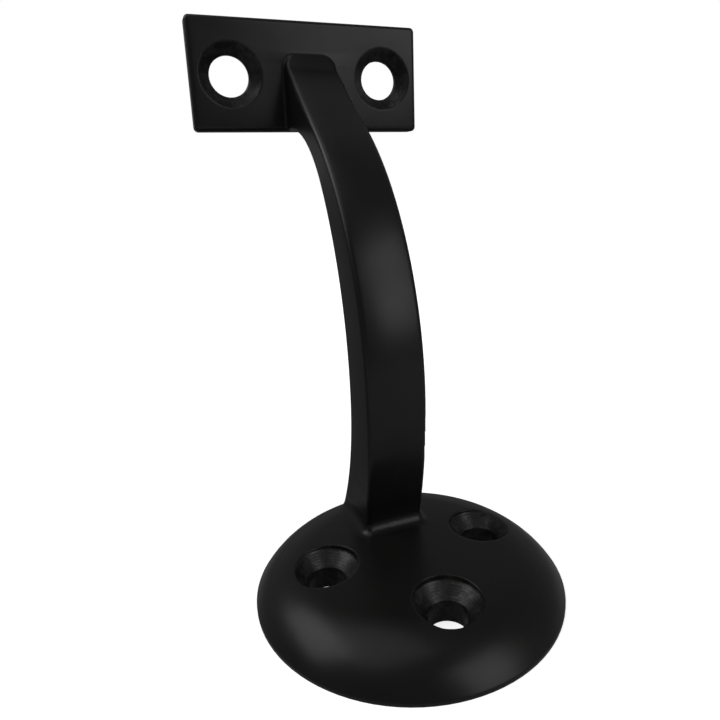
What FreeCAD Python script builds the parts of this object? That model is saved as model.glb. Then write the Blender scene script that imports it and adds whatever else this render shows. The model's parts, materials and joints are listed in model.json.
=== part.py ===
import FreeCAD, Part
import math
import os
import Sketcher
from FreeCAD import Vector, Placement, Rotation

# Handrail bracket, one iron casting: a domed round wall plate, a bowed arm
# and a flat saddle plate that carries the underside of the rail.
# Frame: origin at the centre of the wall plate's flat back, +Z straight out of
# the wall, the rail lies on the +Y side of the saddle, +X along the rail.

doc = FreeCAD.newDocument("handrail_bracket")

# ---------------------------------------------------------------- sizes (mm)
SIZES = [
    ("wall_dia", 45.0, "wall plate, outer diameter"),
    ("wall_land", 0.5, "upright edge of the wall plate at its rim"),
    ("wall_crown", 6.1, "height of the dome at its middle"),
    ("crown_rad", 180.0, "radius of the nearly flat top of the dome"),
    ("shoulder_rad", 11.0, "radius of the dome's shoulder"),
    ("pitch_rad", 12.45, "pitch circle radius of the three wall screws"),
    ("side_angle", 4.3, "side screws, degrees above the horizontal"),
    ("wall_bore", 5.5, "wall screw hole, diameter"),
    ("wall_sink", 9.3, "wall screw head recess, diameter"),
    ("bore_long", 3.2, "straight length of the wall screw hole"),
    ("sink_angle", 90.0, "countersink, included angle"),
    ("arm_wide", 9.2, "arm, width along the rail"),
    ("arm_fore", 2.6, "distance of the arm's front from the axis where it is furthest forward"),
    ("arm_deep", 8.4, "arm, front to back at that height"),
    ("fore_high", 26.8, "height where the arm's front is furthest forward"),
    ("front_foot_rad", 70.0, "front of the arm below that height, radius"),
    ("foot_margin", 3.3, "wall plate's rim to the back of the arm's sunk foot"),
    ("under_rad", 22.5, "back of the arm where it turns into the underside, radius"),
    ("climb", 53.0, "top of the arm, degrees from straight out of the wall"),
    ("front_round", 0.7, "rounding of the arm's front edges"),
    ("back_round", 0.8, "rounding of the arm's back edges"),
    ("flare_rad", 8.0, "flare of the arm's front into the saddle, radius"),
    ("end_round", 3.6, "shoulders of the arch where the arm meets the saddle, radius"),
    ("arch_over", 4.45, "top of that arch above the middle of the saddle, inside it"),
    ("projection", 76.2, "wall to the middle of the rail saddle"),
    ("rail_off", 39.15, "wall plate axis to the saddle's near face"),
    ("rail_long", 41.0, "saddle, length along the rail"),
    ("rail_high", 18.2, "saddle, width across the rail"),
    ("rail_thick", 2.8, "saddle, thickness"),
    ("rail_corner", 0.8, "saddle, corner radius"),
    ("rail_round", 0.8, "saddle, rounding of its near edges"),
    ("arm_top", 2.45, "arm's front, run on straight to the saddle, above the saddle's middle"),
    ("rail_pitch", 27.5, "distance between the two rail screws"),
    ("rail_bore", 6.8, "rail screw hole, diameter"),
    ("rail_sink", 10.7, "rail screw countersink, diameter"),
    ("seat", 0.6, "how far the arm runs into the saddle"),
    ("foot_fillet", 1.6, "fillet where the arm meets the dome"),
    ("saddle_fillet", 0.5, "fillet where the arm meets the saddle"),
]
sheet = doc.addObject("Spreadsheet::Sheet", "sizes")
for i, (alias, value, note) in enumerate(SIZES, start=1):
    sheet.set("A%d" % i, str(value))
    sheet.setAlias("A%d" % i, alias)
    sheet.set("B%d" % i, note)
doc.recompute()


def val(alias):
    return float(getattr(sheet, alias))


def cell(alias):
    return "sizes." + alias


# ---------------------------------------------------------------- helpers
def new_body(name, label):
    b = doc.addObject("PartDesign::Body", name)
    b.Label = label
    return b


def plane(body, role):
    return [f for f in body.Origin.OriginFeatures if f.Role == role][0]


def new_sketch(body, name, role, offset=None):
    s = body.newObject("Sketcher::SketchObject", name)
    s.AttachmentSupport = [(plane(body, role), "")]
    s.MapMode = "FlatFace"
    if offset:
        s.setExpression("AttachmentOffset.Base.z", offset)
    return s


def bind(sketch, kind, args, expr, name):
    """Add a dimension and bind it to an expression on the sheet."""
    i = sketch.addConstraint(Sketcher.Constraint(kind, *args))
    sketch.renameConstraint(i, name)
    sketch.setExpression("Constraints." + name, expr)
    return i


def at(x, y):
    return Vector(x, y, 0)


# ---------------------------------------------------------------- wall plate
wall = new_body("WallPlate", "wall_plate")
half = val("wall_dia") / 2
crown_z = val("wall_crown") - val("crown_rad")


def shoulder_centre():
    """Centre of the shoulder arc: inside the crown arc, through the rim."""
    far = val("crown_rad") - val("shoulder_rad")
    near = val("shoulder_rad")
    dx, dy = half, val("wall_land") - crown_z
    gap = math.hypot(dx, dy)
    along = (far ** 2 - near ** 2 + gap ** 2) / (2 * gap)
    side = math.sqrt(far ** 2 - along ** 2)
    ux, uy = dx / gap, dy / gap
    return ux * along - uy * side, crown_z + uy * along + ux * side


cx, cy = shoulder_centre()
meet = math.atan2(cy - crown_z, cx)
rim = math.atan2(val("wall_land") - cy, half - cx)

sk = new_sketch(wall, "WallProfile", "XZ_Plane")
sk.addGeometry([
    Part.LineSegment(at(0, 0), at(half, 0)),
    Part.LineSegment(at(half, 0), at(half, val("wall_land"))),
    Part.ArcOfCircle(Part.Circle(at(cx, cy), Vector(0, 0, 1), val("shoulder_rad")), rim, meet),
    Part.ArcOfCircle(Part.Circle(at(0, crown_z), Vector(0, 0, 1), val("crown_rad")), meet, math.pi / 2),
    Part.LineSegment(at(0, val("wall_crown")), at(0, 0)),
], False)
C = Sketcher.Constraint
for c in (C("Coincident", 0, 1, -1, 1), C("Coincident", 0, 2, 1, 1), C("Coincident", 1, 2, 2, 1),
          C("Coincident", 3, 2, 4, 1), C("Coincident", 4, 2, 0, 1), C("Horizontal", 0), C("Vertical", 1),
          C("Vertical", 4), C("Tangent", 2, 2, 3, 1), C("PointOnObject", 3, 3, -2)):
    sk.addConstraint(c)
bind(sk, "DistanceX", (0, 1, 0, 2, half), cell("wall_dia") + " / 2", "radius")
bind(sk, "DistanceY", (1, 1, 1, 2, val("wall_land")), cell("wall_land"), "land")
bind(sk, "DistanceY", (0, 1, 4, 1, val("wall_crown")), cell("wall_crown"), "crown")
bind(sk, "Radius", (2, val("shoulder_rad")), cell("shoulder_rad"), "shoulder")
bind(sk, "Radius", (3, val("crown_rad")), cell("crown_rad"), "crowning")
dome = wall.newObject("PartDesign::Revolution", "Dome")
dome.Profile = sk
dome.ReferenceAxis = (sk, ["V_Axis"])
dome.Angle = 360
doc.recompute()

# ---------------------------------------------------------------- arm
# The side profile, padded to the arm's width, then its long edges rounded.
arm = new_body("Arm", "arm")
FOOT_IN = "(" + cell("wall_land") + " + 2)"      # the arm starts inside the dome
back_y = val("arm_fore") + val("arm_deep")
low_z = val("wall_land") + 2
foot_y = half - val("foot_margin")                # back of the sunk foot
foot_rise, foot_run = val("fore_high") - low_z, foot_y - back_y
back_foot_rad = (foot_rise ** 2 + foot_run ** 2) / (2 * foot_run)
back_run, back_rise = val("rail_off") - back_y, val("projection") - val("rail_high") / 2 - val("fore_high")
back_mid_rad = (back_run ** 2 + back_rise ** 2 - 2 * back_rise * val("under_rad")) / (2 * (back_run - val("under_rad")))


def side_profile(name):
    fore = val("arm_fore")
    back = val("arm_fore") + val("arm_deep")
    zf = val("fore_high")
    low = val("wall_land") + 2
    end_y = val("rail_off") + val("seat")
    under = val("projection") - val("rail_high") / 2
    lean = math.radians(val("climb"))
    top = val("projection") + val("arm_top") + val("seat") / math.tan(lean)
    corner = top - (end_y - fore) / math.tan(lean)
    bow = (corner - zf) / math.tan(lean / 2)
    rf, rb = val("front_foot_rad"), back_foot_rad
    front_low = fore + rf - math.sqrt(rf ** 2 - (zf - low) ** 2)
    fr = val("flare_rad")
    cut = fr * math.tan(lean / 2)                 # from the corner to where the flare starts
    fs = (end_y - cut * math.sin(lean), top - cut * math.cos(lean))
    ts = (fore + bow * (1 - math.cos(lean)), zf + bow * math.sin(lean))
    up = Vector(0, 0, 1)
    s = new_sketch(arm, name, "YZ_Plane")
    deg = math.pi
    ur, wr = val("under_rad"), back_mid_rad
    swing = math.atan2(under - ur - zf, back + wr - val("rail_off"))    # where the two arcs of the back meet
    s.addGeometry([
        Part.LineSegment(at(front_low, low), at(foot_y, low)),                                  # 0 foot
        Part.ArcOfCircle(Part.Circle(at(back + rb, zf), up, rb), deg, deg + math.asin((zf - low) / rb)),   # 1 back, lower
        Part.ArcOfCircle(Part.Circle(at(back + wr, zf), up, wr), deg - swing, deg),             # 2 back, middle
        Part.LineSegment(at(val("rail_off"), under), at(end_y, under)),                         # 3 underside
        Part.LineSegment(at(end_y, under), at(end_y, top + cut)),                               # 4 inside the saddle
        Part.LineSegment(at(*fs), at(*ts)),                                                     # 5 front, straight
        Part.ArcOfCircle(Part.Circle(at(fore + bow, zf), up, bow), deg - lean, deg),            # 6 front, upper
        Part.ArcOfCircle(Part.Circle(at(fore + rf, zf), up, rf), deg, deg + math.asin((zf - low) / rf)),   # 7 front, lower
        Part.ArcOfCircle(Part.Circle(at(end_y - fr, top + cut), up, fr), -lean, 0),             # 8 flare into the saddle
        Part.ArcOfCircle(Part.Circle(at(val("rail_off"), under - ur), up, ur), deg / 2, deg - swing),   # 9 back, upper
    ], False)
    for c in (C("Horizontal", 0), C("Coincident", 0, 2, 1, 2), C("Coincident", 1, 1, 2, 2),
              C("Tangent", 2, 1, 9, 2), C("Coincident", 9, 1, 3, 1), C("Horizontal", 3), C("Coincident", 3, 2, 4, 1), C("Vertical", 4),
              C("Tangent", 4, 2, 8, 2), C("Tangent", 8, 1, 5, 1), C("Tangent", 5, 2, 6, 1), C("Coincident", 6, 2, 7, 1),
              C("Coincident", 7, 2, 0, 1)):
        s.addConstraint(c)
    # the centres of all four curves that meet at the foremost height lie on it
    bind(s, "DistanceY", (-1, 1, 6, 2, zf), cell("fore_high"), "foremost")
    for g in (6, 7, 1):
        s.addConstraint(C("Horizontal", g, 3, 6, 2))
    s.addConstraint(C("Horizontal", 1, 1, 6, 2))
    s.addConstraint(C("Horizontal", 2, 3, 6, 2))
    s.addConstraint(C("Vertical", 9, 3, 9, 1))
    bind(s, "DistanceX", (-1, 1, 6, 2, fore), cell("arm_fore"), "fore")
    bind(s, "DistanceX", (-1, 1, 1, 1, back), cell("arm_fore") + " + " + cell("arm_deep"), "back")
    bind(s, "DistanceY", (-1, 1, 0, 1, low), FOOT_IN, "foot")
    bind(s, "Radius", (7, rf), cell("front_foot_rad"), "frontfoot")
    bind(s, "Radius", (9, ur), cell("under_rad"), "underrad")
    bind(s, "DistanceX", (-1, 1, 0, 2, foot_y), cell("wall_dia") + " / 2 - " + cell("foot_margin"), "backfoot")
    bind(s, "DistanceX", (-1, 1, 3, 1, val("rail_off")), cell("rail_off"), "railoff")
    bind(s, "DistanceY", (-1, 1, 3, 1, under), cell("projection") + " - " + cell("rail_high") + " / 2", "under")
    bind(s, "DistanceX", (3, 1, 3, 2, val("seat")), cell("seat"), "seat")
    bind(s, "Radius", (8, fr), cell("flare_rad"), "flare")
    turn_in = cell("flare_rad") + " * tan(" + cell("climb") + " / 2 * 1 deg)"
    bind(s, "DistanceY", (-1, 1, 4, 2, top + cut), cell("projection") + " + " + cell("arm_top") + " + " + cell("seat")
         + " / tan(" + cell("climb") + " * 1 deg) + " + turn_in, "top")
    bind(s, "Angle", (5, 2, -2, 1, lean), "90 deg - 90 deg + " + cell("climb") + " * 1 deg", "climb")
    return s


profile = side_profile("ArmProfile")
pad = arm.newObject("PartDesign::Pad", "ArmPad")
pad.Profile = profile
pad.Midplane = True
pad.setExpression("Length", cell("arm_wide"))
doc.recompute()


def edges_where(shape, test):
    """Names of the edges of a shape that pass a test of their geometry."""
    return ["Edge%d" % (i + 1) for i, e in enumerate(shape.Edges) if test(e)]


def along(edge, n=5):
    a, b = edge.FirstParameter, edge.LastParameter
    return [edge.valueAt(a + (b - a) * k / (n - 1)) for k in range(n)]


# The arm ends in an arch: its front corners are cut to two round shoulders
# along the way into the saddle.
half_wide = val("arm_wide") / 2
NEAR = "-" + cell("rail_off")                      # this plane's normal is -Y
arch = new_sketch(arm, "ArchOutline", "XZ_Plane", NEAR + " - " + cell("seat"))
er = val("end_round")
arch_z = val("projection") + val("arch_over")
out_x, out_z = half_wide + 2, arch_z + 6
up = Vector(0, 0, 1)
arch.addGeometry([
    Part.ArcOfCircle(Part.Circle(at(-half_wide + er, arch_z - er), up, er), math.pi / 2, math.pi),   # 0 left shoulder
    Part.LineSegment(at(-half_wide + er, arch_z), at(half_wide - er, arch_z)),                       # 1 top
    Part.ArcOfCircle(Part.Circle(at(half_wide - er, arch_z - er), up, er), 0, math.pi / 2),          # 2 right shoulder
    Part.LineSegment(at(half_wide, arch_z - er), at(out_x, arch_z - er)),                            # 3
    Part.LineSegment(at(out_x, arch_z - er), at(out_x, out_z)),                                      # 4
    Part.LineSegment(at(out_x, out_z), at(-out_x, out_z)),                                           # 5
    Part.LineSegment(at(-out_x, out_z), at(-out_x, arch_z - er)),                                    # 6
    Part.LineSegment(at(-out_x, arch_z - er), at(-half_wide, arch_z - er)),                          # 7
], False)
for c in (C("Tangent", 0, 1, 1, 1), C("Tangent", 1, 2, 2, 2), C("Coincident", 2, 1, 3, 1), C("Coincident", 3, 2, 4, 1),
          C("Coincident", 4, 2, 5, 1), C("Coincident", 5, 2, 6, 1), C("Coincident", 6, 2, 7, 1), C("Coincident", 7, 2, 0, 2),
          C("Horizontal", 1), C("Horizontal", 3), C("Vertical", 4), C("Vertical", 6),
          C("Horizontal", 7), C("Equal", 0, 2), C("Horizontal", 0, 3, 0, 2), C("Symmetric", 0, 2, 2, 1, -2),
          C("Symmetric", 5, 1, 5, 2, -2)):
    arch.addConstraint(c)
bind(arch, "Radius", (0, er), cell("end_round"), "shoulder")
bind(arch, "DistanceX", (0, 2, 2, 1, 2 * half_wide), cell("arm_wide"), "wide")
bind(arch, "DistanceY", (-1, 1, 1, 1, arch_z), cell("projection") + " + " + cell("arch_over"), "top")
bind(arch, "DistanceX", (5, 2, 5, 1, 2 * out_x), cell("arm_wide") + " + 4", "clearwide")
bind(arch, "DistanceY", (-1, 1, 5, 1, out_z), cell("projection") + " + " + cell("arch_over") + " + 6", "clearhigh")
shoulders = arm.newObject("PartDesign::Pocket", "EndArch")
shoulders.Profile = arch
shoulders.Reversed = True
shoulders.setExpression("Length", cell("end_round") + " * tan(" + cell("climb") + " * 1 deg) + " + cell("seat") + " + 1")
doc.recompute()


def long_edge(e):
    """An edge on one of the arm's flanks that runs up the arm."""
    pts = along(e)
    if not all(abs(abs(p.x) - half_wide) < 1e-3 for p in pts):
        return False
    level = abs(pts[0].z - pts[-1].z) < 1e-6
    inside = min(p.y for p in pts) > val("rail_off") - 1e-6
    return not level and not inside


def middle_y(z):
    """Depth half way between the arm's front and back at a height."""
    zf = val("fore_high")
    if z <= zf:
        rb = back_foot_rad
        return back_y + rb - math.sqrt(rb ** 2 - (zf - z) ** 2) - val("arm_deep") / 2
    if z >= zf + back_rise:
        return val("rail_off")
    rise = (z - zf) / back_rise
    return val("rail_off") - back_run * math.sqrt(1 - rise ** 2) - val("arm_deep") / 2


def front_edge(e):
    mid = along(e)[2]
    return long_edge(e) and mid.y < middle_y(mid.z)


def back_edge(e):
    return long_edge(e) and not front_edge(e)


front = arm.newObject("PartDesign::Fillet", "FrontRounding")
front.Base = (shoulders, edges_where(shoulders.Shape, front_edge))
front.setExpression("Radius", cell("front_round"))
doc.recompute()
back = arm.newObject("PartDesign::Fillet", "BackRounding")
back.Base = (front, edges_where(front.Shape, back_edge))
back.setExpression("Radius", cell("back_round"))
doc.recompute()

# ---------------------------------------------------------------- rail saddle
saddle = new_body("Saddle", "saddle")
sk = new_sketch(saddle, "SaddleOutline", "XZ_Plane", NEAR)
hl, hh, mid_z = val("rail_long") / 2, val("rail_high") / 2, val("projection")
rc = val("rail_corner")
sk.addGeometry([
    Part.LineSegment(at(-hl + rc, mid_z - hh), at(hl - rc, mid_z - hh)),
    Part.ArcOfCircle(Part.Circle(at(hl - rc, mid_z - hh + rc), up, rc), -math.pi / 2, 0),
    Part.LineSegment(at(hl, mid_z - hh + rc), at(hl, mid_z + hh - rc)),
    Part.ArcOfCircle(Part.Circle(at(hl - rc, mid_z + hh - rc), up, rc), 0, math.pi / 2),
    Part.LineSegment(at(hl - rc, mid_z + hh), at(-hl + rc, mid_z + hh)),
    Part.ArcOfCircle(Part.Circle(at(-hl + rc, mid_z + hh - rc), up, rc), math.pi / 2, math.pi),
    Part.LineSegment(at(-hl, mid_z + hh - rc), at(-hl, mid_z - hh + rc)),
    Part.ArcOfCircle(Part.Circle(at(-hl + rc, mid_z - hh + rc), up, rc), math.pi, 1.5 * math.pi),
], False)
for c in (C("Tangent", 0, 2, 1, 1), C("Tangent", 1, 2, 2, 1), C("Tangent", 2, 2, 3, 1), C("Tangent", 3, 2, 4, 1),
          C("Tangent", 4, 2, 5, 1), C("Tangent", 5, 2, 6, 1), C("Tangent", 6, 2, 7, 1), C("Tangent", 7, 2, 0, 1),
          C("Vertical", 2), C("Horizontal", 4), C("Vertical", 6), C("Equal", 1, 3), C("Equal", 3, 5), C("Equal", 5, 7),
          C("Symmetric", 0, 1, 0, 2, -2)):
    sk.addConstraint(c)
bind(sk, "Radius", (1, rc), cell("rail_corner"), "corner")
bind(sk, "DistanceX", (6, 1, 2, 1, 2 * hl), cell("rail_long"), "long")
bind(sk, "DistanceY", (0, 1, 4, 1, 2 * hh), cell("rail_high"), "high")
bind(sk, "DistanceY", (-1, 1, 0, 1, mid_z - hh), cell("projection") + " - " + cell("rail_high") + " / 2", "low")
slab = saddle.newObject("PartDesign::Pad", "Slab")
slab.Profile = sk
slab.Reversed = True
slab.setExpression("Length", cell("rail_thick"))
doc.recompute()
near_edges = edges_where(slab.Shape, lambda e: all(abs(p.y - val("rail_off")) < 1e-4 for p in along(e)))
soften = saddle.newObject("PartDesign::Fillet", "NearEdges")
soften.Base = (slab, near_edges)
soften.setExpression("Radius", cell("rail_round"))
doc.recompute()

# ---------------------------------------------------------------- one casting
cast = new_body("Casting", "bracket_casting")


def join(name, bodies):
    b = cast.newObject("PartDesign::Boolean", name)
    b.Type = "Fuse"
    b.addObjects(bodies)
    doc.recompute()
    return b


joined = join("WallAndArm", [wall, arm])


def foot_edge(e):
    """Edges where the arm comes out of the dome."""
    return all(abs(p.x) < half_wide + 0.01 and p.z > val("wall_land") + 0.5 and p.z < val("wall_crown") + 0.01
               and p.y > val("arm_fore") for p in along(e))


foot = cast.newObject("PartDesign::Fillet", "FootFillet")
foot.Base = (joined, edges_where(joined.Shape, foot_edge))
foot.setExpression("Radius", cell("foot_fillet"))
doc.recompute()
with_saddle = join("WithSaddle", [saddle])


def saddle_edge(e):
    """Edges where the arm meets the saddle's near face."""
    return all(abs(p.y - val("rail_off")) < 1e-3 and abs(p.x) < half_wide + 0.01
               and p.z > val("projection") - val("rail_high") / 2 + 0.2 for p in along(e))


saddling = cast.newObject("PartDesign::Fillet", "SaddleFillet")
saddling.Base = (with_saddle, edges_where(with_saddle.Shape, saddle_edge))
saddling.setExpression("Radius", cell("saddle_fillet"))
doc.recompute()

# ---------------------------------------------------------------- wall screws
SINK_TOP = cell("bore_long") + " + (" + cell("wall_sink") + " - " + cell("wall_bore") + ") / 2 / tan(" + cell("sink_angle") + " / 2 * 1 deg)"
turn = math.radians(val("side_angle"))
rp = val("pitch_rad")


def screw_circles(body, name, dia, dia_expr):
    """Three circles on the wall pattern: one below, two at the sides."""
    s = new_sketch(body, name, "XY_Plane", SINK_TOP)
    places = [(0, -rp), (-rp * math.cos(turn), rp * math.sin(turn)), (rp * math.cos(turn), rp * math.sin(turn))]
    for x, y in places:
        s.addGeometry(Part.Circle(at(x, y), Vector(0, 0, 1), dia / 2), False)
    s.addConstraint(C("PointOnObject", 0, 3, -2))
    s.addConstraint(C("Symmetric", 1, 3, 2, 3, -2))
    s.addConstraint(C("Equal", 0, 1))
    s.addConstraint(C("Equal", 0, 2))
    bind(s, "Radius", (0, dia / 2), dia_expr + " / 2", "round")
    bind(s, "DistanceY", (0, 3, -1, 1, rp), cell("pitch_rad"), "below")
    bind(s, "DistanceX", (-1, 1, 2, 3, places[2][0]), cell("pitch_rad") + " * cos(" + cell("side_angle") + " * 1 deg)", "aside")
    bind(s, "DistanceY", (-1, 1, 2, 3, places[2][1]), cell("pitch_rad") + " * sin(" + cell("side_angle") + " * 1 deg)", "above")
    return s


heads = screw_circles(cast, "ScrewHeads", val("wall_sink"), cell("wall_sink"))
recess = cast.newObject("PartDesign::Pocket", "HeadRecess")
recess.Profile = heads
recess.Reversed = True
recess.setExpression("Length", cell("wall_crown") + " + 1")
doc.recompute()
shanks = screw_circles(cast, "ScrewHoles", val("wall_bore"), cell("wall_bore"))
bores = cast.newObject("PartDesign::Hole", "WallScrewHoles")
bores.Profile = shanks
doc.recompute()
bores.DepthType = "ThroughAll"
bores.Threaded = False
bores.ThreadType = "None"
bores.setExpression("Diameter", cell("wall_bore"))
bores.HoleCutType = "Countersink"
bores.HoleCutCustomValues = True
bores.setExpression("HoleCutDiameter", cell("wall_sink"))
bores.setExpression("HoleCutCountersinkAngle", cell("sink_angle"))
doc.recompute()

# ---------------------------------------------------------------- rail screws
rail_holes = new_sketch(cast, "RailHoles", "XZ_Plane", NEAR)
hp, rb_ = val("rail_pitch") / 2, val("rail_bore") / 2
rail_holes.addGeometry([Part.Circle(at(-hp, mid_z), Vector(0, 0, 1), rb_), Part.Circle(at(hp, mid_z), Vector(0, 0, 1), rb_)], False)
rail_holes.addConstraint(C("Symmetric", 0, 3, 1, 3, -2))
rail_holes.addConstraint(C("Equal", 0, 1))
bind(rail_holes, "Radius", (0, rb_), cell("rail_bore") + " / 2", "round")
bind(rail_holes, "DistanceX", (0, 3, 1, 3, 2 * hp), cell("rail_pitch"), "pitch")
bind(rail_holes, "DistanceY", (-1, 1, 1, 3, mid_z), cell("projection"), "middle")
doc.recompute()
rails = cast.newObject("PartDesign::Hole", "RailScrewHoles")
rails.Profile = rail_holes
doc.recompute()
rails.DepthType = "ThroughAll"
rails.Threaded = False
rails.ThreadType = "None"
rails.setExpression("Diameter", cell("rail_bore"))
rails.HoleCutType = "Countersink"
rails.HoleCutCustomValues = True
rails.setExpression("HoleCutDiameter", cell("rail_sink"))
rails.setExpression("HoleCutCountersinkAngle", cell("sink_angle"))
doc.recompute()
cast.Tip = rails
doc.recompute()

# ---------------------------------------------------------------- checks, export
steps = [dome, pad, shoulders, front, back, slab, soften, joined, foot, with_saddle, saddling,
         recess, bores, rails]
for o in doc.Objects:
    if "Invalid" in o.State or "Error" in o.State:
        raise RuntimeError("%s failed: %s" % (o.Name, o.State))
for o in steps:
    if o.Shape.isNull() or not o.Shape.isValid():
        raise RuntimeError("%s has a bad shape" % o.Name)
for before, after, least in ((pad, shoulders, 2), (saddling, recess, 10), (recess, bores, 10), (bores, rails, 10)):
    cut = before.Shape.Volume - after.Shape.Volume
    if cut < least:
        raise RuntimeError("%s cuts nothing" % after.Name)
    print("%s removes %.1f mm3" % (after.Name, cut))

NODES = {"bracket_casting": cast}
os.makedirs("parts", exist_ok=True)
for name, body in NODES.items():
    shape = body.Shape
    if shape.isNull() or not shape.isValid() or len(shape.Solids) != 1:
        raise RuntimeError(name + " is not one valid solid")
    shape.exportStep("parts/" + name + ".step")
    box = shape.optimalBoundingBox()
    print("%s: %.0f mm3, %.1f x %.1f x %.1f mm, z from %.2f" % (
        name, shape.Volume, box.XLength, box.YLength, box.ZLength, box.ZMin))
    print("centre of mass", tuple(round(c, 2) for c in shape.Solids[0].CenterOfMass))
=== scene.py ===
# %% [markdown]
# # Dressing a black handrail bracket
#
# The real object is one casting. A round domed plate screws to the wall, a
# bowed arm climbs out of it, and a flat saddle at the arm's end takes two
# screws up into the rail. The casting is coated all over in satin black.
# The solid model already holds each real shape, so this lesson is about the
# skin: how a bare triangle mesh becomes a smooth casting, how its drilled
# holes are told apart from its cast faces, and how a black finish is given
# enough life to be read as metal under a coat.

import json
import math

import bpy
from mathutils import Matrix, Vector

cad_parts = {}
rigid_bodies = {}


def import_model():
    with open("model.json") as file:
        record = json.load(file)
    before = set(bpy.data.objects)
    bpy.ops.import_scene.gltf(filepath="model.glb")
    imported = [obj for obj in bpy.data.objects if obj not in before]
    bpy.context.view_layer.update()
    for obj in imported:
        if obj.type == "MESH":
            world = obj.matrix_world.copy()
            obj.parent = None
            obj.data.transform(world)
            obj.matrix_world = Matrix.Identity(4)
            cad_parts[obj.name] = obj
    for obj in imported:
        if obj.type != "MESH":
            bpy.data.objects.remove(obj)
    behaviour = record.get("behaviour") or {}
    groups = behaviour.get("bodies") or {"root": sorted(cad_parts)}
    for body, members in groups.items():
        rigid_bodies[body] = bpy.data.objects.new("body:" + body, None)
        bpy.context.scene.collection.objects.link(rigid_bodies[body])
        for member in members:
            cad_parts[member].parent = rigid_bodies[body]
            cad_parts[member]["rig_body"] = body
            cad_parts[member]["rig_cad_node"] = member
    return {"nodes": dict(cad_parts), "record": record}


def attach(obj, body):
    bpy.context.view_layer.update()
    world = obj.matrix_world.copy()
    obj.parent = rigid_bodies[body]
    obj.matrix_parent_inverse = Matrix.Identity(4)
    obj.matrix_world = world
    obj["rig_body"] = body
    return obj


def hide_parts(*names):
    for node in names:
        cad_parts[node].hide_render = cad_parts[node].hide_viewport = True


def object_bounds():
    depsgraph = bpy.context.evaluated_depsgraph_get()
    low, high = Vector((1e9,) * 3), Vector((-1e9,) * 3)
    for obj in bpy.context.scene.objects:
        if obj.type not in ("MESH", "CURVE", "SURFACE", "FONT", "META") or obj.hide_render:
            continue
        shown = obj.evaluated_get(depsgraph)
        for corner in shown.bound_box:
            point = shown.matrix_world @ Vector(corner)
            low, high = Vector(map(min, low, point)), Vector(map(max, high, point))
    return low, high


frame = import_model()
cad_box = [list(corner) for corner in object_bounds()]
print("solid model's box in metres:", cad_box)

MM = 0.001

# %% [markdown]
# ## Places that the finish needs
#
# Marks on a surface belong to a place on it: turning marks circle a hole,
# and a smoothed face has a sheen of its own. The places of the screw holes
# could be typed here again, but they are read from the bracket's record, so
# that the finish follows when a pitch changes. What the record doesn't hold
# is given in millimetres, as a caliper would read it.

# %% Places on the bracket
def mount(name):
    """A mount's place in millimetres, and its sizes, from the bracket's record."""
    found = next(m for m in frame["record"]["mounts"] if m["name"] == name)
    return [c / MM for c in found["pos_m"]], found["dims"]


low_hole, _ = mount("wall_screw_low")
side_pair, side_sizes = mount("wall_screws_side")
side_reach = side_sizes["spacing_x_mm"] / 2
wall_holes = [(low_hole[0], low_hole[1]), (-side_reach, side_pair[1]), (side_reach, side_pair[1])]
wall_sink_radius = 4.65
plate_height = 8.0  # a little over the dome's crown

rail_pair, rail_sizes = mount("rail_screws")
rail_reach = rail_sizes["spacing_x_mm"] / 2
rail_holes = [(-rail_reach, rail_pair[2]), (rail_reach, rail_pair[2])]
rail_sink_radius = 5.35
rail_face, _ = mount("rail_face")
saddle_thickness = 2.8
saddle_near = rail_face[1] - saddle_thickness
halfway_up = cad_box[1][2] / MM / 2  # well above the plate, and below the saddle

rim_slack = 0.04  # corners on a rim still count as cut
print("screw holes in the plate:", wall_holes)
print("screw holes in the saddle:", rail_holes)

# %% [markdown]
# ## The casting's skin
#
# The solid arrives as loose triangles: each one has corners of its own, so
# light breaks at every edge. A copy is welded first. Then its edges are
# shaded by angle, so that the dome, the arm and every fillet run smooth,
# while the machined rims, where two faces meet sharply, stay crisp. A
# subdivided cage modelled by hand would also give soft forms, but it would
# lose the true tangent fillets where the arm meets the plate and the saddle.

# %% Copy and weld
weld_within_mm = 0.002
solid = frame["nodes"]["bracket_casting"]
bpy.ops.object.select_all(action="DESELECT")
solid.select_set(True)
bpy.context.view_layer.objects.active = solid
bpy.ops.object.duplicate()
casting = bpy.context.view_layer.objects.active
casting.name = "coated_casting"
casting.data.name = "coated_casting"
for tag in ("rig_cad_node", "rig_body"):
    if tag in casting:
        del casting[tag]
casting.parent = None
loose = len(casting.data.vertices)
bpy.ops.object.mode_set(mode="EDIT")
bpy.ops.mesh.select_all(action="SELECT")
bpy.ops.mesh.remove_doubles(threshold=weld_within_mm * MM)
bpy.ops.object.mode_set(mode="OBJECT")
print("welded", loose, "loose corners into", len(casting.data.vertices), "vertices")

# %% [markdown]
# The split normals that come with the solid are cleared first, because they
# would hold each triangle's own shading. An edge sharper than 28 degrees
# stays crisp: that is over the step between any two facets of a fillet, and
# well under the turn at a countersink's rim.

# %% Shade by angle
crisp_above_deg = 28
if casting.data.has_custom_normals:
    bpy.ops.mesh.customdata_custom_splitnormals_clear()
bpy.ops.object.shade_smooth_by_angle(angle=math.radians(crisp_above_deg))
print("sharp edges kept:", sum(1 for e in casting.data.edges if e.use_edge_sharp))

# %% [markdown]
# ## Which faces were cut by a drill
#
# The plate, arm and saddle come out of a mould, and the countersinks and
# bores are cut afterwards. The cutter leaves fine rings that still show
# through a thin coat. So the cut faces get a finish of their own, and each
# of their corners remembers its distance from its own drill axis, which is
# what the rings follow. Picking the faces by place is surer than by number.

# %% Find the cut faces and store their distance from the drill axis
flat_from = 0.95  # a normal that lies this much along the drill axis is a flat face's


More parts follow.
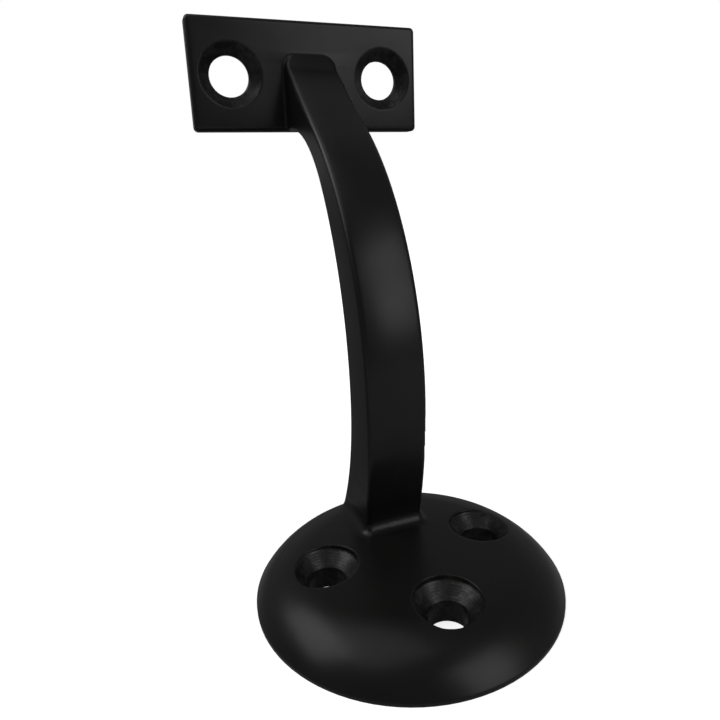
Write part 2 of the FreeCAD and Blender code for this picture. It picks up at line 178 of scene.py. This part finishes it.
def drill_distance(point):
    """Millimetres from the nearest drill axis, and whether a cutter reached here."""
    x, y, z = (c / MM for c in point)
    if z > halfway_up and y > saddle_near - rim_slack:
        away = min(math.hypot(x - hole_x, z - hole_z) for hole_x, hole_z in rail_holes)
        return away, away < rail_sink_radius + rim_slack
    away = min(math.hypot(x - hole_x, y - hole_y) for hole_x, hole_y in wall_holes)
    return away, z < plate_height and away < wall_sink_radius + rim_slack


skin = casting.data
radius = skin.attributes.new("drill_radius", "FLOAT", "POINT")
reached = []
for i, corner in enumerate(skin.vertices):
    away, near = drill_distance(corner.co)
    radius.data[i].value = away * MM
    reached.append(near)


def is_cut(face):
    """Part of a cone or bore: its corners and middle are near an axis, and it isn't square to it."""
    if not all(reached[i] for i in face.vertices) or not drill_distance(face.center)[1]:
        return False
    along_axis = face.normal.y if face.center.z > halfway_up * MM else face.normal.z
    return abs(along_axis) < flat_from


cut_faces = [face.index for face in skin.polygons if is_cut(face)]
print("faces cut by a drill:", len(cut_faces), "of", len(skin.polygons))

# %% [markdown]
# ## Small helpers for materials
#
# A colour is read off a swatch as a hex value, but a shader adds up light,
# so every hex value is turned to linear once, here. Another helper adds one
# node, sets it and wires it, so that a material reads from top to bottom
# like a recipe. Each node could be written out by hand, but then the order
# in which they feed each other would be hard to follow.

# %% Colour and node helpers
def linear(hex_colour):
    """A hex colour as the linear RGBA that a shader wants."""
    parts = [int(hex_colour[i:i + 2], 16) / 255 for i in (1, 3, 5)]
    return tuple(c / 12.92 if c <= 0.04045 else ((c + 0.055) / 1.055) ** 2.4 for c in parts) + (1.0,)


def add(tree, kind, settings=None, values=None, wires=None):
    """Adds a node, sets its own settings and its sockets' values, and wires its inputs."""
    node = tree.nodes.new(kind)
    for key, value in (settings or {}).items():
        setattr(node, key, value)
    for socket, value in (values or {}).items():
        node.inputs[socket].default_value = value
    for socket, source in (wires or {}).items():
        tree.links.new(source, node.inputs[socket])
    return node


def fresh(name):
    """A new material and its empty node tree."""
    material = bpy.data.materials.new(name)
    material.use_nodes = True
    material.node_tree.nodes.clear()
    return material, material.node_tree


# %% [markdown]
# ## Satin black powder coat on cast metal
#
# Powder coat is polyester resin melted over the metal. It is about 70
# microns thick, never quite level, and its orange peel has a wavelength of
# one or two millimetres. Under it the casting's own skin rolls over six to
# ten millimetres. To the eye this gives a soft wide sheen that wanders a
# little, not a mirror line. The colour barely changes: it is a hair lighter
# and warmer where the coat is thin. A painted image could be wrapped round
# the casting instead, but noise in the object's own millimetres has no
# seams and keeps one scale all over. The finest grain of a real coat is a
# few hundredths of a millimetre. It is drawn as coarse as it needs to show.

# %% Powder coat: patterns, colour and sheen
coat_thick_hex = "#0f0f0f"
coat_thin_hex = "#131312"
orange_peel_mm = 1.5
casting_roll_mm = 8.0
grit_mm = 0.22

coat, tree = fresh("satin_black_powder_coat")
place = add(tree, "ShaderNodeTexCoord").outputs["Object"]
roll = add(tree, "ShaderNodeTexNoise",
           values={"Scale": 1 / (casting_roll_mm * MM), "Detail": 2.0, "Roughness": 0.45},
           wires={"Vector": place})
peel = add(tree, "ShaderNodeTexNoise",
           values={"Scale": 1 / (orange_peel_mm * MM), "Detail": 1.5, "Roughness": 0.4},
           wires={"Vector": place})
grit = add(tree, "ShaderNodeTexNoise",
           values={"Scale": 1 / (grit_mm * MM), "Detail": 1.0, "Roughness": 0.5},
           wires={"Vector": place})
tone = add(tree, "ShaderNodeMix", {"data_type": "RGBA"}, wires={"Factor": roll.outputs["Fac"]})
tone.inputs["A"].default_value = linear(coat_thick_hex)
tone.inputs["B"].default_value = linear(coat_thin_hex)
sheen_spread = add(tree, "ShaderNodeMapRange",
                   values={"From Min": 0.3, "From Max": 0.7, "To Min": 0.27, "To Max": 0.34},
                   wires={"Value": roll.outputs["Fac"]})
print("powder coat:", coat_thick_hex, "to", coat_thin_hex)

# %% [markdown]
# ## Rims and the arm's front
#
# Molten powder draws back from an edge and rounds it, so every rim gets a
# radius of a fraction of a millimetre in the shading, which catches a thin
# line of light that a sharp edge can't.
# The arm's front face is taken as very slightly crowned, as a face that was
# smoothed by hand on a belt tends to be: it falls away by a few tenths of a
# millimetre at its sides. That gathers its highlight into a patch instead
# of a bar. The mesh could be bent to do this, but the front is made of
# facets that run from side to side, with no vertices between to lift. So
# the crown is only in the shading, and the solid's face is flat.

# %% Powder coat: rounded rims and the arm's crown
edge_draw_mm = 0.4
arm_half_mm, arm_crown_mm = 4.6, 0.30
foot_low_mm, foot_high_mm = 8.0, 14.0  # up the arm's foot, where the crown sets in
end_near_mm, end_far_mm = 31.0, 37.0  # out towards the saddle, where it dies away

drawn = add(tree, "ShaderNodeBevel", {"samples": 8}, {"Radius": edge_draw_mm * MM})
spot = add(tree, "ShaderNodeSeparateXYZ", wires={"Vector": place})
above_plate = add(tree, "ShaderNodeMapRange",
                  values={"From Min": foot_low_mm * MM, "From Max": foot_high_mm * MM},
                  wires={"Value": spot.outputs["Z"]})
before_saddle = add(tree, "ShaderNodeMapRange",
                    values={"From Min": end_far_mm * MM, "From Max": end_near_mm * MM},
                    wires={"Value": spot.outputs["Y"]})
square = add(tree, "ShaderNodeMath", {"operation": "MULTIPLY"},
             wires={0: spot.outputs["X"], 1: spot.outputs["X"]})
on_arm = add(tree, "ShaderNodeMath", {"operation": "MULTIPLY"},
             wires={0: above_plate.outputs["Result"], 1: before_saddle.outputs["Result"]})
fall = add(tree, "ShaderNodeMath", {"operation": "MULTIPLY"},
           wires={0: square.outputs["Value"], 1: on_arm.outputs["Value"]})
crowned = add(tree, "ShaderNodeBump", {"invert": True},
              {"Strength": 1.0, "Distance": arm_crown_mm / (arm_half_mm ** 2 * MM)},
              {"Height": fall.outputs["Value"], "Normal": drawn.outputs["Normal"]})
print("rims rounded by", edge_draw_mm, "mm, arm's front crowned by", arm_crown_mm, "mm")

# %% [markdown]
# The three patterns now lie over each other as they do on the metal: the
# casting's roll at the bottom, the orange peel on it and the grain on top.
# Each is a bump on the last one's normal. Real displacement could carry
# them, but the deepest is under a tenth of a millimetre, too little to show
# in an outline. The resin's index of refraction is about 1.5, and its
# specular level is set low for a low-gloss coat.

# %% Powder coat: the skin's waves and the resin
rolled = add(tree, "ShaderNodeBump", values={"Strength": 0.45, "Distance": 0.12 * MM},
             wires={"Height": roll.outputs["Fac"], "Normal": crowned.outputs["Normal"]})
peeled = add(tree, "ShaderNodeBump", values={"Strength": 0.25, "Distance": 0.015 * MM},
             wires={"Height": peel.outputs["Fac"], "Normal": rolled.outputs["Normal"]})
gritted = add(tree, "ShaderNodeBump", values={"Strength": 0.2, "Distance": 0.004 * MM},
              wires={"Height": grit.outputs["Fac"], "Normal": peeled.outputs["Normal"]})
resin = add(tree, "ShaderNodeBsdfPrincipled", values={"IOR": 1.5, "Specular IOR Level": 0.2},
            wires={"Base Color": tone.outputs["Result"], "Roughness": sheen_spread.outputs["Result"],
                   "Normal": gritted.outputs["Normal"]})
add(tree, "ShaderNodeOutputMaterial", wires={"Surface": resin.outputs["BSDF"]})
print("powder coat's nodes:", len(tree.nodes))

# %% [markdown]
# ## Turned countersink under a thin coat
#
# Inside the countersinks the powder lies thinner and the cutter's rings
# stand under a third of a millimetre apart. They are drawn at the coarse
# end of what a cutter leaves, so that they show. A countersink also
# chatters: it skips round the cone and leaves patches that shine
# differently. So the tone and the gloss wander from dark to a worn grey
# over about a millimetre, and the rings are a sine of the distance from the
# drill axis. The rings could be cut into the mesh, but they are only a few
# thousandths of a millimetre deep, which nothing but the light shows.

# %% Turned countersink: rings and chatter
ring_step_mm = 0.3
chatter_mm = 1.3
cut, tree = fresh("satin_black_over_turned_metal")
place = add(tree, "ShaderNodeTexCoord").outputs["Object"]
distance = add(tree, "ShaderNodeAttribute", {"attribute_name": "drill_radius"})
phase = add(tree, "ShaderNodeMath", {"operation": "MULTIPLY"}, {1: 2 * math.pi / (ring_step_mm * MM)},
            {0: distance.outputs["Fac"]})
rings = add(tree, "ShaderNodeMath", {"operation": "SINE"}, wires={0: phase.outputs["Value"]})
chatter = add(tree, "ShaderNodeTexNoise",
              values={"Scale": 1 / (chatter_mm * MM), "Detail": 3.0, "Roughness": 0.6},
              wires={"Vector": place})
drawn = add(tree, "ShaderNodeBevel", {"samples": 8}, {"Radius": edge_draw_mm * MM})
turned = add(tree, "ShaderNodeBump", values={"Strength": 0.5, "Distance": 0.006 * MM},
             wires={"Height": rings.outputs["Value"], "Normal": drawn.outputs["Normal"]})
flowed = add(tree, "ShaderNodeBump", values={"Strength": 0.6, "Distance": 0.09 * MM},
             wires={"Height": chatter.outputs["Fac"], "Normal": turned.outputs["Normal"]})
print("turned rings every", ring_step_mm, "mm, chatter every", chatter_mm, "mm")

# %% [markdown]
# Where the cutter skipped, the coat wears first. The same chatter that
# bends the light therefore also drives the tone and the gloss.

# %% Turned countersink: tone and gloss
cut_dark_hex = "#0f0f0f"
cut_worn_hex = "#232322"
worn = add(tree, "ShaderNodeMapRange", values={"From Min": 0.44, "From Max": 0.6},
           wires={"Value": chatter.outputs["Fac"]})
tone = add(tree, "ShaderNodeMix", {"data_type": "RGBA"}, wires={"Factor": worn.outputs["Result"]})
tone.inputs["A"].default_value = linear(cut_dark_hex)
tone.inputs["B"].default_value = linear(cut_worn_hex)
gloss = add(tree, "ShaderNodeMapRange",
            values={"From Min": 0.3, "From Max": 0.7, "To Min": 0.46, "To Max": 0.24},
            wires={"Value": chatter.outputs["Fac"]})
resin = add(tree, "ShaderNodeBsdfPrincipled", values={"IOR": 1.5, "Specular IOR Level": 0.24},
            wires={"Base Color": tone.outputs["Result"], "Roughness": gloss.outputs["Result"],
                   "Normal": flowed.outputs["Normal"]})
add(tree, "ShaderNodeOutputMaterial", wires={"Surface": resin.outputs["BSDF"]})
print("turned finish:", cut_dark_hex, "to", cut_worn_hex)

# %% [markdown]
# ## The finishes on the casting
#
# The powder coat goes everywhere, and the turned finish only on the faces
# that a cutter made. One material with a mask could do it too, but two
# materials meet exactly at the rim, as the cut does. The dressed casting
# then takes the plain solid's place.

# %% Give the casting its two finishes
casting.data.materials.clear()
casting.data.materials.append(coat)
casting.data.materials.append(cut)
for i in cut_faces:
    casting.data.polygons[i].material_index = 1
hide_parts("bracket_casting")
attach(casting, "root")
print("finishes on the casting:", [finish.name for finish in casting.data.materials])

# %% [markdown]
# ## Floor
#
# The bracket stands on its flat back, as it would on a table before it is
# fitted. The floor is a wide plane. To the light it is grey card, pale in
# front and dark behind, so that little is thrown back up into the arm's
# sides, and a black coat stays black at a glancing angle. To the eye it is
# white paper: the camera sees a glow added to a pale, lit surface. The glow
# is painted shade near the bracket: it is weaker close to the bracket and
# full further off, so the floor is painted darker round the plate. So the
# far floor is an even white, and the real soft shadow round the plate shows
# within that painted shade. Glossy faces see a small share of the white, on
# the floor and in the room alike. Plain white paper would be simpler, but it
# would turn the satin black to grey.

# %% How much of the white background a ray sees
white_in_gloss = 0.07


def share_of_white(tree):
    """1 for what the camera sees directly or through glass, and a small share for a reflection."""
    path = add(tree, "ShaderNodeLightPath")
    seen = add(tree, "ShaderNodeMath", {"operation": "MAXIMUM"},
               wires={0: path.outputs["Is Camera Ray"], 1: path.outputs["Is Transmission Ray"]})
    mirrored = add(tree, "ShaderNodeMath", {"operation": "MULTIPLY"}, {1: white_in_gloss},
                   {0: path.outputs["Is Glossy Ray"]})
    share = add(tree, "ShaderNodeMath", {"operation": "MAXIMUM"},
                wires={0: seen.outputs["Value"], 1: mirrored.outputs["Value"]})
    return share.outputs["Value"]


# %% [markdown]
# The floor itself is one plane, wide enough that its edge is out of sight.

# %% Floor
floor_side = 6.0
bpy.ops.object.select_all(action="DESELECT")
bpy.ops.mesh.primitive_plane_add(size=floor_side, location=(0.0, 0.0, 0.0))
ground = bpy.context.view_layer.objects.active
ground.name = "studio_floor"
print("floor:", floor_side, "metres square")

# %% [markdown]
# Its material mixes two surfaces by the kind of ray that meets them: the
# glowing paper for what sees the white, and the grey card for all light
# that bounces. Two floors, each shown to its own rays, could do the same,
# but one material keeps both in one place.

# %% Paper to the eye and card to the light
# Painted shade: the glow is weaker within a few centimetres of the bracket, so the floor is painted
# darker round it, and it is full further off.
painted_shade_near_mm, glow_far_mm = 30.0, 220.0
painted_shade_glow_near, glow_far = 0.72, 1.0
card_front_mm, card_back_mm = -45.0, 35.0
paper, tree = fresh("pale_studio_paper")
place = add(tree, "ShaderNodeTexCoord").outputs["Object"]
away_from_bracket = add(tree, "ShaderNodeVectorMath", {"operation": "LENGTH"}, wires={0: place})
strength = add(tree, "ShaderNodeMapRange",
               values={"From Min": painted_shade_near_mm * MM, "From Max": glow_far_mm * MM,
                       "To Min": painted_shade_glow_near, "To Max": glow_far},
               wires={"Value": away_from_bracket.outputs["Value"]})
depth = add(tree, "ShaderNodeSeparateXYZ", wires={"Vector": place})
behind = add(tree, "ShaderNodeMapRange",
             values={"From Min": card_front_mm * MM, "From Max": card_back_mm * MM},
             wires={"Value": depth.outputs["Y"]})
card_tone = add(tree, "ShaderNodeMix", {"data_type": "RGBA"}, wires={"Factor": behind.outputs["Result"]})
card_tone.inputs["A"].default_value = linear("#e0e0e0")
card_tone.inputs["B"].default_value = linear("#2e2e2e")
card = add(tree, "ShaderNodeBsdfDiffuse", wires={"Color": card_tone.outputs["Result"]})
pale = add(tree, "ShaderNodeBsdfDiffuse", values={"Color": linear("#dedede")})
glow = add(tree, "ShaderNodeEmission", values={"Color": (1, 1, 1, 1)},
           wires={"Strength": strength.outputs["Result"]})
both = add(tree, "ShaderNodeAddShader", wires={0: pale.outputs["BSDF"], 1: glow.outputs["Emission"]})
mix = add(tree, "ShaderNodeMixShader",
          wires={0: share_of_white(tree), 1: card.outputs["BSDF"], 2: both.outputs["Shader"]})
add(tree, "ShaderNodeOutputMaterial", wires={"Surface": mix.outputs["Shader"]})
ground.data.materials.append(paper)
print("glow near the bracket:", painted_shade_glow_near, "and far off:", glow_far)

# %% [markdown]
# ## Studio light
#
# Black is shown by what it reflects. One large soft box stands to the left
# and a little behind, and puts a glow on the plate's left shoulder. Another
# stands low in front and to the right, where the arm's front face and the
# plate's right shoulder pick it up. Between the two, where the
# camera stands, it is dark, and this gap is what gives the dome its form.
# A third, wide and weak, hangs overhead as fill. The boxes are wide and
# near, which keeps their glow soft at the edges. A picture of a studio all
# round could light the scene too, but a panel can be moved by itself, for
# the one highlight that it makes.

# %% World
room_level, white_level = 0.14, 1.0
world = bpy.data.worlds.new("dim_room")
bpy.context.scene.world = world
world.use_nodes = True
tree = world.node_tree
tree.nodes.clear()
room = add(tree, "ShaderNodeBackground", values={"Color": (1, 1, 1, 1), "Strength": room_level})
white = add(tree, "ShaderNodeBackground", values={"Color": (1, 1, 1, 1), "Strength": white_level})
mix = add(tree, "ShaderNodeMixShader",
          wires={0: share_of_white(tree), 1: room.outputs["Background"], 2: white.outputs["Background"]})
add(tree, "ShaderNodeOutputWorld", wires={"Surface": mix.outputs["Shader"]})
print("room's own light:", room_level, "of the white that the camera sees")

# %% [markdown]
# Each soft box is given by where it stands as seen from the bracket, and by
# how bright its cloth is: a brightness of 1 is as bright as the white floor.

# %% Soft boxes
lamps_aim_mm = 30.0


def soft_box(name, turn_deg, rise_deg, away_mm, size_mm, brightness):
    """A lamp panel seen from the bracket: turned right of straight ahead, and raised."""
    lamp = bpy.data.lights.new(name, "AREA")
    lamp.shape = "RECTANGLE"
    lamp.size, lamp.size_y = size_mm[0] * MM, size_mm[1] * MM
    lamp.energy = brightness * math.pi * lamp.size * lamp.size_y
    box = bpy.data.objects.new(name, lamp)
    bpy.context.scene.collection.objects.link(box)
    turn, rise = math.radians(turn_deg), math.radians(rise_deg)
    toward = Vector((math.sin(turn) * math.cos(rise), -math.cos(turn) * math.cos(rise), math.sin(rise)))
    box.location = toward * away_mm * MM + Vector((0.0, 0.0, lamps_aim_mm * MM))
    box.rotation_euler = toward.to_track_quat("Z", "Y").to_euler()
    print(name, "gives", round(lamp.energy, 2), "watts")


soft_box("left_soft_box", -112, 41, 620, (460, 330), 2.85)
soft_box("right_soft_box", 30, 29, 620, (360, 430), 2.55)
soft_box("overhead_fill", -85, 71, 700, (560, 560), 0.95)

# %% [markdown]
# ## Camera
#
# The camera stands close, about ten centimetres away, with a wide lens, so
# the plate in front looks large and the saddle small. Only its nearness
# does that: a long lens from further off would draw both at nearly one
# scale.

# %% Camera
camera_place_mm = (-30.97, -71.46, 58.54)
camera_turn_deg = (75.222, 1.764, -21.793)
lens = bpy.data.cameras.new("camera")
lens.sensor_width = 36.0
lens.lens = 29.99
lens.shift_x, lens.shift_y = -0.0314, -0.0331
lens.clip_start, lens.clip_end = 5 * MM, 20.0
camera = bpy.data.objects.new("camera", lens)
bpy.context.scene.collection.objects.link(camera)
camera.location = Vector(camera_place_mm) * MM
camera.rotation_euler = [math.radians(turn) for turn in camera_turn_deg]
bpy.context.scene.camera = camera
bpy.context.scene.view_settings.view_transform = "Standard"
print("camera to the plate's middle:", round(camera.location.length / MM), "mm")

# %% [markdown]
# ## Finish
#
# The dressed bracket must be just as big as the solid model. The scene is
# brought up to date once more at the end.

# %% Finish
bpy.context.view_layer.update()
